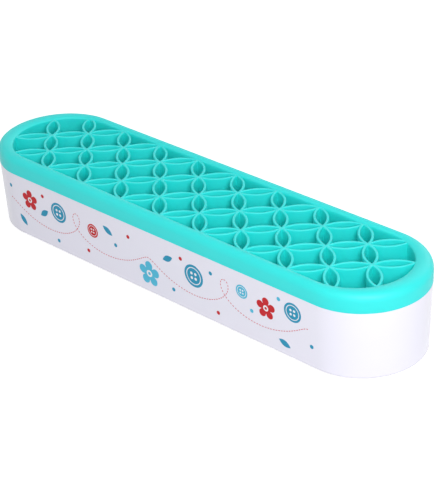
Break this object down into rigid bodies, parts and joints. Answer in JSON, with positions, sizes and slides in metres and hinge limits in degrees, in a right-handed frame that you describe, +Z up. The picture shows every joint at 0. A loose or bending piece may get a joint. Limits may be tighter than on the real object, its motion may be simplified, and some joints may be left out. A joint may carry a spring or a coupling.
{
  "type": "sewing organizer box",
  "caption": "Racetrack-shaped tray with a soft lift-out insert whose lattice of overlapping rings holds sewing tools upright.",
  "frame": {"origin": "on the table under the middle of the box", "axes": "+X along the box, +Y across it towards its back, +Z up"},
  "size_m": [0.3278, 0.079, 0.055],
  "materials": {
    "tray": "gloss",
    "insert": "satin",
    "feet": "matte"
  },
  "bodies": {
    "base": {"tray": "tray", "foot_front_left": "feet", "foot_front_right": "feet", "foot_back_left": "feet", "foot_back_right": "feet"},
    "lattice_insert": {"insert": "insert"}
  },
  "joints": [
    {"name": "insert_lift", "type": "slide", "parent": "base", "child": "lattice_insert", "axis": [0, 0, 1], "range_m": [0, 0.055]}
  ]
}
